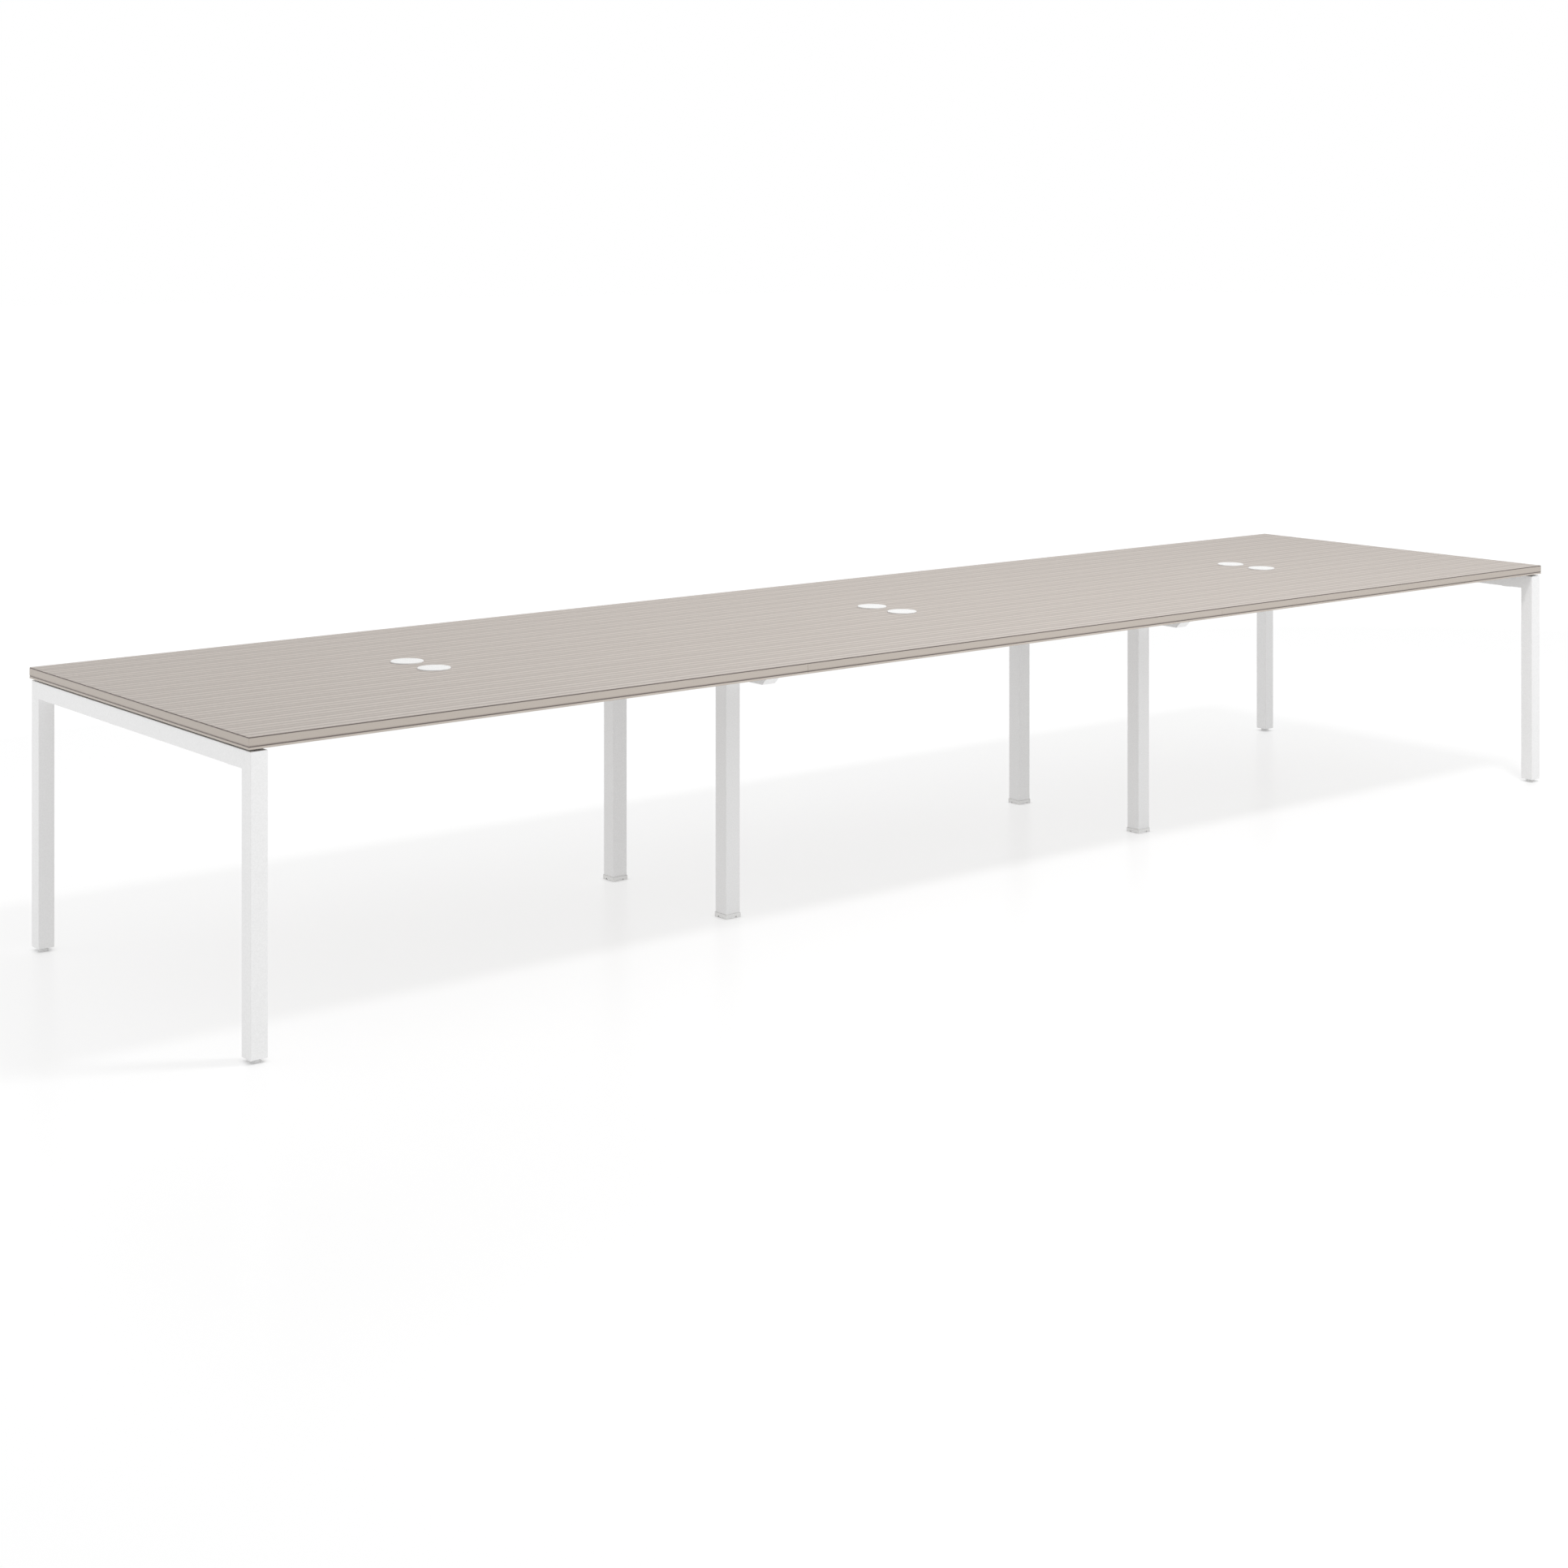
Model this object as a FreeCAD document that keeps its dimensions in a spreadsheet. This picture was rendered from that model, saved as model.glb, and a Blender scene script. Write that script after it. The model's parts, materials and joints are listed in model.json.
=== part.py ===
import FreeCAD, Part
import math
import os
import re
import Sketcher

# Driving dimensions of the bench desk, in millimetres
SIZES = {
    # Worktops: three boards in a row, each with a glued edge band
    "module_length": 1600.0,
    "top_depth": 1200.0,
    "top_height": 725.0,
    "board_thick": 28.0,
    "seam_gap": 0.5,
    "band_thick": 2.0,
    "line_depth": 0.8,
    "line_height": 2.4,
    "low_line_drop": 22.0,
    "shadow_gap": 5.5,
    # Cable grommets: a flanged liner and a lift-off lid with clip fingers
    "grommet_reach": 67.0,
    "grommet_hole": 80.0,
    "flange_lap": 3.0,
    "flange_thick": 1.0,
    "liner_clear": 0.2,
    "liner_wall": 1.8,
    "liner_depth": 26.0,
    "lid_thick": 2.2,
    "lid_bevel": 0.8,
    "lid_clear": 0.3,
    "finger_width": 14.0,
    "finger_thick": 2.0,
    "finger_depth": 8.0,
    # End frames: square tube mitred at the corners
    "frame_tube": 43.0,
    "tube_wall": 2.0,
    "tube_round": 1.5,
    "end_inset": 5.5,
    "side_inset": 2.5,
    # Middle frames: a beam with slanted ends on two set-in legs
    "mid_tube": 47.0,
    "mid_leg_reach": 261.0,
    "mid_beam_inset": 123.0,
    "end_plate_thick": 2.0,
    # Rails between the frames, welded to plates that are bolted to the beams
    "rail_rise": 3.0,
    "rail_width": 30.0,
    "rail_plate_thick": 3.0,
    "rail_plate_edge": 13.0,
    "rail_bolt_gap": 14.0,
    "bolt_head": 13.0,
    "bolt_head_thick": 5.3,
    "pad_spread": 400.0,
    # Worktop fixings on the end beams, reached through plugged holes
    "fix_inner": 128.0,
    "fix_margin": 105.5,
    "spacer_side": 30.0,
    "access_hole": 28.0,
    "plug_lap": 3.0,
    "plug_flange_thick": 2.0,
    "plug_depth": 8.0,
    "plug_clear": 0.2,
    # Worktop fixings on the middle beams
    "join_length": 120.0,
    "join_width": 50.0,
    "join_inner": 128.0,
    "join_margin": 77.0,
    "join_screw_reach": 45.0,
    "screw_head": 10.0,
    "screw_head_thick": 4.0,
    # Levelling feet: round glides on the end legs, thumb wheels in slotted caps on the middle legs
    "glide_diameter": 27.0,
    "glide_height": 9.0,
    "glide_clear": 0.3,
    "stem_size": 10.0,
    "stem_length": 30.0,
    "stem_clear": 0.2,
    "insert_height": 25.0,
    "insert_clear": 0.1,
    "foot_cap_wall": 1.3,
    "foot_cap_clear": 0.2,
    "foot_cap_height": 12.0,
    "foot_cap_recess": 5.0,
    "foot_cap_web": 2.5,
    "foot_cap_rim": 3.0,
    "foot_cap_chamfer": 0.8,
    "foot_slot_width": 23.0,
    "foot_slot_height": 4.5,
    "wheel_clear": 0.7,
    "wheel_headroom": 0.5,
    "wheel_lift": 0.4,
}

# Lengths that follow from the driving dimensions
DERIVED = {
    "board_bottom": "top_height - board_thick",
    "frame_top": "board_bottom - shadow_gap",
    "frame_axis": "frame_top - frame_tube / 2",
    "beam_bottom": "frame_top - frame_tube",
    "band_length": "module_length - seam_gap",
    "board_length": "band_length - 2 * band_thick",
    "board_depth": "top_depth - 2 * band_thick",
    "flange": "grommet_hole + 2 * flange_lap",
    "liner_bore": "grommet_hole - 2 * liner_clear - 2 * liner_wall",
    "finger_face": "sqrt((liner_bore / 2 - lid_clear)^2 - (finger_width / 2)^2)",
    "finger_reach": "finger_face - finger_thick / 2",
    "end_frame_reach": "1.5 * module_length - seam_gap / 2 - end_inset - frame_tube / 2",
    "mid_frame_reach": "module_length / 2",
    "end_beam_length": "top_depth - 2 * side_inset",
    "end_leg_reach": "end_beam_length / 2 - frame_tube / 2",
    "end_leg_bottom": "glide_height + glide_clear",
    "end_leg_height": "frame_top - end_leg_bottom",
    "mid_beam_length": "top_depth - 2 * mid_beam_inset",
    "mid_leg_bottom": "foot_cap_recess + foot_cap_web",
    "rail_height": "frame_tube - rail_rise",
    "rail_axis": "frame_top - rail_height / 2",
    "rail_bolt_reach": "rail_width / 2 + rail_bolt_gap",
    "rail_plate_width": "2 * rail_bolt_reach + 2 * rail_plate_edge",
    "bolt_head_corners": "2 * bolt_head / sqrt(3)",
    "fix_outer": "end_beam_length / 2 - fix_margin",
    "join_outer": "mid_beam_length / 2 - join_margin",
    "screw_head_corners": "2 * screw_head / sqrt(3)",
    "plug": "access_hole - 2 * plug_clear",
    "plug_flange": "access_hole + 2 * plug_lap",
    "stem_bore": "stem_size + 2 * stem_clear",
    "foot_cap_seat": "mid_tube + 2 * foot_cap_clear",
    "foot_cap_side": "foot_cap_seat + 2 * foot_cap_wall",
    "foot_cap_hollow": "foot_cap_side - 2 * foot_cap_rim",
    "wheel": "2 * sqrt((foot_slot_width / 2 - wheel_clear)^2 + (foot_cap_hollow / 2)^2)",
    "wheel_thick": "foot_slot_height - wheel_headroom - wheel_lift",
}

MODULES = {"left": -1, "middle": 0, "right": 1}
ENDS = {"left": -1, "right": 1}
ROWS = {"front": -1, "rear": 1}
SIDES = (-1, 1)
BEAM_FIXINGS = ("fix_inner", "fix_outer")
SEAM_FIXINGS = ("join_inner", "join_outer")
HEAD_FLATS = 6
WHEEL_FLATS = 24
ORIGIN_POINT = (-1, 1)
SEGMENT_START = 1
SEGMENT_END = 2
CIRCLE_CENTRE = 3
ROUGH_SIZE = 1.0
CLOSE = 0.01
PARTS_FOLDER = "parts"

doc = FreeCAD.newDocument("coworking_desk")
sheet = doc.addObject("Spreadsheet::Sheet", "sizes")
for line_number, (alias, value) in enumerate(SIZES.items(), start=1):
    sheet.set(f"A{line_number}", alias)
    sheet.set(f"B{line_number}", str(value))
    sheet.setAlias(f"B{line_number}", alias)
doc.recompute()

nodes = []


def bind(text):
    """Turn the words of a formula into references to the sheet."""
    def reference(match):
        word = match.group()
        if word in DERIVED:
            return "(" + bind(DERIVED[word]) + ")"
        return "sizes." + word if word in SIZES else word
    return re.sub(r"[a-z][a-z_]+", reference, text)


def new_body(label):
    """Body of one sub-part, kept in the list of nodes to write."""
    body = doc.addObject("PartDesign::Body", label)
    body.Label = label
    nodes.append(body)
    return body


def place(body, x, y, z, half_turn=False):
    """Put a sub-part at a spot given by formulas, turned half round the vertical if asked."""
    if half_turn:
        body.Placement.Rotation = FreeCAD.Rotation(FreeCAD.Vector(0, 0, 1), 180)
    for axis, text in zip("xyz", (x, y, z)):
        body.setExpression(f"Placement.Base.{axis}", bind(text))


def new_sketch(body, role, offset="0"):
    """Sketch on one of the body's origin planes, moved along its normal by a formula."""
    plane = next(item for item in body.Origin.OriginFeatures if item.Role == role)
    sketch = body.newObject("Sketcher::SketchObject", body.Label + "_sketch")
    sketch.AttachmentSupport = (plane, [""])
    sketch.MapMode = "FlatFace"
    sketch.setExpression("AttachmentOffset.Base.z", bind(offset))
    return sketch


def tie(sketch, kind, point, text):
    """Hold a sketch point at a distance from the sketch origin given by a formula."""
    index = sketch.addConstraint(Sketcher.Constraint(kind, *ORIGIN_POINT, *point, ROUGH_SIZE))
    sketch.setExpression(f"Constraints[{index}]", bind(text))


def outline(sketch, corners):
    """Closed outline through corners, each a pair of formulas."""
    first = sketch.GeometryCount
    count = len(corners)
    turn = 2 * math.pi / count
    spots = [FreeCAD.Vector(math.cos(turn * k), math.sin(turn * k), 0) for k in range(count)]
    for k in range(count):
        sketch.addGeometry(Part.LineSegment(spots[k], spots[(k + 1) % count]), False)
    for k, (across, up) in enumerate(corners):
        following = first + (k + 1) % count
        sketch.addConstraint(
            Sketcher.Constraint("Coincident", first + k, SEGMENT_END, following, SEGMENT_START))
        tie(sketch, "DistanceX", (first + k, SEGMENT_START), across)
        tie(sketch, "DistanceY", (first + k, SEGMENT_START), up)


def rectangle(sketch, width, height, across="0", up="0"):
    """Rectangle of a given width and height about a centre."""
    left = f"{across} - ({width}) / 2"
    right = f"{across} + ({width}) / 2"
    low = f"{up} - ({height}) / 2"
    high = f"{up} + ({height}) / 2"
    outline(sketch, [(left, low), (right, low), (right, high), (left, high)])


def circle(sketch, diameter, across="0", up="0"):
    """Circle of a given diameter about a centre."""
    rough_centre = FreeCAD.Vector(ROUGH_SIZE, ROUGH_SIZE, 0)
    rough = Part.Circle(rough_centre, FreeCAD.Vector(0, 0, 1), ROUGH_SIZE)
    index = sketch.addGeometry(rough, False)
    tie(sketch, "DistanceX", (index, CIRCLE_CENTRE), across)
    tie(sketch, "DistanceY", (index, CIRCLE_CENTRE), up)
    size = sketch.addConstraint(Sketcher.Constraint("Diameter", index, 2 * ROUGH_SIZE))
    sketch.setExpression(f"Constraints[{size}]", bind(diameter))


def polygon(sketch, count, diameter, across="0", up="0"):
    """Even polygon with its corners on a circle of a given diameter about a centre."""
    corners = []
    for k in range(count):
        angle = math.pi / count * (2 * k + 1)
        corners.append((f"{across} + ({diameter}) / 2 * {math.cos(angle):.9f}",
                        f"{up} + ({diameter}) / 2 * {math.sin(angle):.9f}"))
    outline(sketch, corners)


def pad(body, sketch, length, symmetric=False, backward=False):
    """Extrude a sketch, to one side or evenly to both."""
    feature = body.newObject("PartDesign::Pad", body.Label + "_pad")
    feature.Profile = sketch
    feature.SideType = "Symmetric" if symmetric else "One side"
    feature.Reversed = backward
    feature.setExpression("Length", bind(length))
    doc.recompute()
    return feature


def pocket(body, sketch, length=None, symmetric=False, along_normal=False):
    """Cut a sketch out of the body, to a depth or right through, and check that it cut."""
    before = body.Shape.Volume
    feature = body.newObject("PartDesign::Pocket", body.Label + "_pocket")
    feature.Profile = sketch
    feature.SideType = "Symmetric" if symmetric else "One side"
    feature.Reversed = along_normal
    if length is None:
        feature.Type = "ThroughAll"
    else:
        feature.setExpression("Length", bind(length))
    doc.recompute()
    if not body.Shape.Volume < before:
        raise RuntimeError(f"a pocket of {body.Label} cuts nothing")


def revolve(body, corners):
    """Turn a half section, in radius and height, about the vertical axis."""
    sketch = new_sketch(body, "XZ_Plane")
    outline(sketch, corners)
    feature = body.newObject("PartDesign::Revolution", body.Label + "_turned")
    feature.Profile = sketch
    feature.ReferenceAxis = (sketch, ["V_Axis"])
    feature.Angle = 360
    doc.recompute()


def dress(body, base, kind, value_name, value, wanted):
    """Fillet or chamfer the edges of a feature that pass a test."""
    names = [f"Edge{k}" for k, edge in enumerate(base.Shape.Edges, start=1) if wanted(edge)]
    feature = body.newObject(f"PartDesign::{kind}", f"{body.Label}_{kind.lower()}")
    feature.Base = (base, names)
    feature.setExpression(value_name, bind(value))
    doc.recompute()


def square_tube(body, role, side, length, symmetric):
    """Square tube along a plane's normal, with its long outer edges rounded."""
    sketch = new_sketch(body, role)
    rectangle(sketch, side, side)
    rectangle(sketch, f"{side} - 2 * tube_wall", f"{side} - 2 * tube_wall")
    tube = pad(body, sketch, length, symmetric=symmetric)
    axis = sketch.Placement.Rotation.multVec(FreeCAD.Vector(0, 0, 1))

    def along(edge):
        return abs((edge.Vertexes[-1].Point - edge.Vertexes[0].Point).dot(axis)) > CLOSE

    def reach(edge):
        middle = edge.CenterOfMass
        return (middle - axis * middle.dot(axis)).Length

    furthest = max(reach(edge) for edge in tube.Shape.Edges if along(edge))
    dress(body, tube, "Fillet", "Radius", "tube_round",
          lambda edge: along(edge) and reach(edge) > furthest - CLOSE)


# Worktops: a board with two cable holes in a ring of edge band, with two grooves on the desk's outer sides
for module, order in MODULES.items():
    worktop = new_body(f"worktop_{module}")
    board = new_sketch(worktop, "XY_Plane")
    rectangle(board, "board_length", "board_depth")
    for row in ROWS.values():
        circle(board, "grommet_hole", "0", f"{row} * grommet_reach")
    pad(worktop, board, "board_thick")
    place(worktop, f"{order} * module_length", "0", "board_bottom")

    band = new_body(f"edge_band_{module}")
    ring = new_sketch(band, "XY_Plane")
    rectangle(ring, "band_length", "top_depth")
    rectangle(ring, "board_length", "board_depth")
    pad(band, ring, "board_thick")
    for line_bottom in ("board_thick - low_line_drop - line_height / 2", "board_thick - line_height"):
        groove = new_sketch(band, "XY_Plane", line_bottom)
        rectangle(groove, "band_length + 4 * line_depth", "top_depth + 2 * line_depth")
        rectangle(groove, f"band_length + {2 - 2 * abs(order)} * line_depth", "top_depth - 2 * line_depth",
                  f"{-order} * line_depth")
        pocket(band, groove, "line_height", along_normal=True)
    place(band, f"{order} * module_length", "0", "board_bottom")


# Grommets: liners hang in the boards by their flanges, and a lid clips into each liner
grommet_spots = {f"{module}_{row_name}": (f"{order} * module_length", f"{row} * grommet_reach")
                 for module, order in MODULES.items() for row_name, row in ROWS.items()}
liners = new_body("grommet_liners")
sleeves = new_sketch(liners, "XY_Plane")
flanges = new_sketch(liners, "XY_Plane")
for spot in grommet_spots.values():
    circle(sleeves, "grommet_hole - 2 * liner_clear", *spot)
    circle(sleeves, "liner_bore", *spot)
    circle(flanges, "flange", *spot)
    circle(flanges, "liner_bore", *spot)
pad(liners, sleeves, "liner_depth", backward=True)
pad(liners, flanges, "flange_thick")
place(liners, "0", "0", "top_height")


def grommet_lid(label):
    """Bevelled disc over four clip fingers, its origin at the top of the flange."""
    lid = new_body(label)
    revolve(lid, [("0", "0"), ("flange / 2", "0"), ("flange / 2", "lid_thick - lid_bevel"),
                  ("flange / 2 - lid_bevel", "lid_thick"), ("0", "lid_thick")])
    fingers = new_sketch(lid, "XY_Plane")
    for side in SIDES:
        rectangle(fingers, "finger_thick", "finger_width", f"{side} * finger_reach", "0")
        rectangle(fingers, "finger_width", "finger_thick", "0", f"{side} * finger_reach")
    pad(lid, fingers, "finger_depth", backward=True)
    return lid


for name, spot in grommet_spots.items():
    place(grommet_lid(f"grommet_lid_{name}"), *spot, "top_height + flange_thick")


# Frames: beams across the desk and the legs below them
def slanted_beam(label, length):
    """Square tube across the desk whose ends slant inward below."""
    beam = new_body(label)
    square_tube(beam, "XZ_Plane", "frame_tube", length, symmetric=True)
    slants = new_sketch(beam, "YZ_Plane")
    for row in ROWS.values():
        tip = f"{row} * {length} / 2"
        outline(slants, [(tip, "frame_tube / 2"), (tip, "-frame_tube / 2"),
                         (f"{row} * ({length} / 2 - frame_tube)", "-frame_tube / 2")])
    pocket(beam, slants, symmetric=True)
    return beam


def mitred_leg(label):
    """Square tube whose top slants to meet the beam, outer side towards the front."""
    leg = new_body(label)
    square_tube(leg, "XY_Plane", "frame_tube", "end_leg_height", symmetric=False)
    mitre = new_sketch(leg, "YZ_Plane")
    outline(mitre, [("-frame_tube / 2", "end_leg_height"), ("frame_tube / 2", "end_leg_height"),
                    ("frame_tube / 2", "end_leg_height - frame_tube")])
    pocket(leg, mitre, symmetric=True)
    return leg


def beam_end_plates(label):
    """Pair of plates over the slanted ends of a middle beam."""
    plates = new_body(label)
    section = new_sketch(plates, "YZ_Plane")
    tip = "mid_beam_length / 2"
    slant = f"end_plate_thick * {math.sqrt(2):.9f}"
    for row in ROWS.values():
        outline(section, [(f"{row} * ({tip})", "frame_tube / 2"),
                          (f"{row} * ({tip} - frame_tube)", "-frame_tube / 2"),
                          (f"{row} * ({tip} - frame_tube + {slant})", "-frame_tube / 2"),
                          (f"{row} * ({tip} + {slant})", "frame_tube / 2")])
    pad(plates, section, "frame_tube", symmetric=True)
    return plates


for end, sign in ENDS.items():
    end_beam = slanted_beam(f"{end}_end_beam", "end_beam_length")
    access_holes = new_sketch(end_beam, "XY_Plane")
    for reach in BEAM_FIXINGS:
        for row in ROWS.values():
            rectangle(access_holes, "access_hole", "access_hole", "0", f"{row} * {reach}")
    pocket(end_beam, access_holes)
    place(end_beam, f"{sign} * end_frame_reach", "0", "frame_axis")

    mid_beam = slanted_beam(f"{end}_mid_beam", "mid_beam_length")
    place(mid_beam, f"{sign} * mid_frame_reach", "0", "frame_axis")
    plates = beam_end_plates(f"{end}_mid_beam_end_plates")
    place(plates, f"{sign} * mid_frame_reach", "0", "frame_axis")

    for row_name, row in ROWS.items():
        end_leg = mitred_leg(f"{end}_end_leg_{row_name}")
        place(end_leg, f"{sign} * end_frame_reach", f"{row} * end_leg_reach", "end_leg_bottom",
              half_turn=row > 0)
        mid_leg = new_body(f"{end}_mid_leg_{row_name}")
        square_tube(mid_leg, "XY_Plane", "mid_tube", "beam_bottom - mid_leg_bottom", symmetric=False)
        place(mid_leg, f"{sign} * mid_frame_reach", f"{row} * mid_leg_reach", "mid_leg_bottom")


# Rails: rectangular tubes along the desk, welded to plates on the beams
def rail(label, gap):
    """Rectangular tube between the two plates in a gap between beams."""
    body = new_body(label)
    tube = new_sketch(body, "YZ_Plane")
    rectangle(tube, "rail_width", "rail_height")
    rectangle(tube, "rail_width - 2 * tube_wall", "rail_height - 2 * tube_wall")
    pad(body, tube, f"{gap} - 2 * rail_plate_thick", symmetric=True)
    return body


for module, order in MODULES.items():
    if order:
        gap = "(end_frame_reach - mid_frame_reach - frame_tube)"
        centre = f"{order} * (end_frame_reach + mid_frame_reach) / 2"
    else:
        gap = "(2 * mid_frame_reach - frame_tube)"
        centre = "0"
    for row_name, row in ROWS.items():
        place(rail(f"rail_{module}_{row_name}", gap), centre, f"{row} * mid_leg_reach", "rail_axis")

# Rail plates and bolts: a plate on each beam face that a rail meets, with hexagon heads seated on it
rail_plates = new_body("rail_end_plates")
rail_bolts = new_body("rail_bolts")
beam_faces = []
for sign in ENDS.values():
    beam_faces.append((f"{sign} * (end_frame_reach - frame_tube / 2)", -sign))
    for side in SIDES:
        beam_faces.append((f"{sign} * mid_frame_reach + {side} * frame_tube / 2", side))
for beam_face, outward in beam_faces:
    blanks = new_sketch(rail_plates, "YZ_Plane", beam_face)
    heads = new_sketch(rail_bolts, "YZ_Plane", f"{beam_face} + {outward} * rail_plate_thick")
    for row in ROWS.values():
        rectangle(blanks, "rail_plate_width", "rail_height", f"{row} * mid_leg_reach", "0")
        for side in SIDES:
            polygon(heads, HEAD_FLATS, "bolt_head_corners",
                    f"{row} * mid_leg_reach + {side} * rail_bolt_reach")
    pad(rail_plates, blanks, "rail_plate_thick", backward=outward < 0)
    pad(rail_bolts, heads, "bolt_head_thick", backward=outward < 0)
place(rail_plates, "0", "0", "rail_axis")
place(rail_bolts, "0", "0", "rail_axis")

# Fixing places, as pairs of formulas
rail_pad_spots = [(f"{order} * module_length + {side} * pad_spread", f"{row} * mid_leg_reach")
                  for order in MODULES.values() for side in SIDES for row in ROWS.values()]
end_fixing_spots = [(f"{sign} * end_frame_reach", f"{row} * {reach}")
                    for sign in ENDS.values() for row in ROWS.values() for reach in BEAM_FIXINGS]
joint_spots = [(f"{sign} * mid_frame_reach", f"{row} * {reach}")
               for sign in ENDS.values() for row in ROWS.values() for reach in SEAM_FIXINGS]
joint_screw_spots = [(f"{across} + {side} * join_screw_reach", up)
                     for across, up in joint_spots for side in SIDES]


def packing_blocks(label, spots, width, depth):
    """Flat blocks that fill the gap between the frame and the boards."""
    body = new_body(label)
    blocks = new_sketch(body, "XY_Plane")
    for across, up in spots:
        rectangle(blocks, width, depth, across, up)
    pad(body, blocks, "shadow_gap")
    place(body, "0", "0", "frame_top")


def screw_heads(label, spots, seat):
    """Hexagon screw heads that hang below their seat."""
    body = new_body(label)
    heads = new_sketch(body, "XY_Plane")
    for across, up in spots:
        polygon(heads, HEAD_FLATS, "screw_head_corners", across, up)
    pad(body, heads, "screw_head_thick", backward=True)
    place(body, "0", "0", seat)


# Worktop fixings: pads along the rails, spacers on the end beams, plates across the seams
packing_blocks("rail_pads", rail_pad_spots, "rail_width", "rail_width")
packing_blocks("beam_spacers", end_fixing_spots, "spacer_side", "spacer_side")
packing_blocks("joining_plates", joint_spots, "join_length", "join_width")
screw_heads("beam_screws", end_fixing_spots, "frame_top - tube_wall")
screw_heads("joining_screws", joint_screw_spots, "frame_top")

# Access plugs: flanged square plugs in the holes below the end beams
plugs = new_body("access_plugs")
flanges = new_sketch(plugs, "XY_Plane")
stoppers = new_sketch(plugs, "XY_Plane")
for across, up in end_fixing_spots:
    rectangle(flanges, "plug_flange", "plug_flange", across, up)
    rectangle(stoppers, "plug", "plug", across, up)
pad(plugs, flanges, "plug_flange_thick", backward=True)
pad(plugs, stoppers, "plug_depth")
place(plugs, "0", "0", "beam_bottom")


# Feet: threaded inserts in the legs, screw feet in the inserts, moulded caps on the middle legs
def leg_inserts(label, leg_side, reach_x, reach_y, height):
    """Blocks with a bore in the lower ends of four legs."""
    body = new_body(label)
    blocks = new_sketch(body, "XY_Plane")
    side = f"{leg_side} - 2 * tube_wall - 2 * insert_clear"
    for sign in ENDS.values():
        for row in ROWS.values():
            spot = (f"{sign} * {reach_x}", f"{row} * {reach_y}")
            rectangle(blocks, side, side, *spot)
            circle(blocks, "stem_bore", *spot)
    pad(body, blocks, "insert_height")
    place(body, "0", "0", height)


def foot_cap(label):
    """Square cap with a seat for the leg above a web, and a slotted recess below it."""
    cap = new_body(label)
    base = new_sketch(cap, "XY_Plane")
    rectangle(base, "foot_cap_side", "foot_cap_side")
    block = pad(cap, base, "foot_cap_height")
    rim = block.Shape.BoundBox.ZMax
    dress(cap, block, "Chamfer", "Size", "foot_cap_chamfer", lambda edge: edge.BoundBox.ZMin > rim - CLOSE)
    seat = new_sketch(cap, "XY_Plane", "mid_leg_bottom")
    rectangle(seat, "foot_cap_seat", "foot_cap_seat")
    pocket(cap, seat, along_normal=True)
    recess = new_sketch(cap, "XY_Plane")
    rectangle(recess, "foot_cap_hollow", "foot_cap_hollow")
    pocket(cap, recess, "foot_cap_recess", along_normal=True)
    stem_way = new_sketch(cap, "XY_Plane")
    rectangle(stem_way, "stem_bore", "stem_bore")
    pocket(cap, stem_way, along_normal=True)
    for role in ("XZ_Plane", "YZ_Plane"):
        slot = new_sketch(cap, role)
        rectangle(slot, "foot_slot_width", "foot_slot_height", "0", "foot_slot_height / 2")
        pocket(cap, slot, symmetric=True)
    return cap


def screw_glide(label):
    """Round foot under a stem."""
    foot = new_body(label)
    stem_top = "glide_height + stem_length"
    revolve(foot, [("0", "0"), ("glide_diameter / 2", "0"), ("glide_diameter / 2", "glide_height"),
                   ("stem_size / 2", "glide_height"), ("stem_size / 2", stem_top), ("0", stem_top)])
    return foot


def wheel_leveller(label):
    """Thumb wheel with many flats under a stem."""
    foot = new_body(label)
    base = new_sketch(foot, "XY_Plane")
    polygon(base, WHEEL_FLATS, "wheel")
    pad(foot, base, "wheel_thick")
    stem = new_sketch(foot, "XY_Plane", "wheel_thick")
    circle(stem, "stem_size")
    pad(foot, stem, "stem_length")
    return foot


leg_inserts("end_leg_inserts", "frame_tube", "end_frame_reach", "end_leg_reach", "end_leg_bottom")
leg_inserts("mid_leg_inserts", "mid_tube", "mid_frame_reach", "mid_leg_reach", "mid_leg_bottom")
for end, sign in ENDS.items():
    for row_name, row in ROWS.items():
        end_spot = (f"{sign} * end_frame_reach", f"{row} * end_leg_reach")
        mid_spot = (f"{sign} * mid_frame_reach", f"{row} * mid_leg_reach")
        place(screw_glide(f"glide_{end}_{row_name}"), *end_spot, "0")
        place(foot_cap(f"foot_cap_{end}_{row_name}"), *mid_spot, "0")
        place(wheel_leveller(f"leveller_{end}_{row_name}"), *mid_spot, "wheel_lift")

# Checks: every object computed, every sub-part whole
doc.recompute()
for item in doc.Objects:
    if {"Invalid", "Error"} & set(item.State):
        raise RuntimeError(f"{item.Label} failed: {item.State}")
for body in nodes:
    if body.Shape.isNull() or not body.Shape.isValid() or not body.Shape.Solids:
        raise RuntimeError(f"{body.Label} has no valid solid")

# One file per sub-part
os.makedirs(PARTS_FOLDER, exist_ok=True)
for body in nodes:
    body.Shape.exportStep(os.path.join(PARTS_FOLDER, body.Label + ".step"))
print(len(nodes), "nodes,", sum(len(body.Shape.Solids) for body in nodes), "solids")
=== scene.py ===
import json
import math

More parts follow.
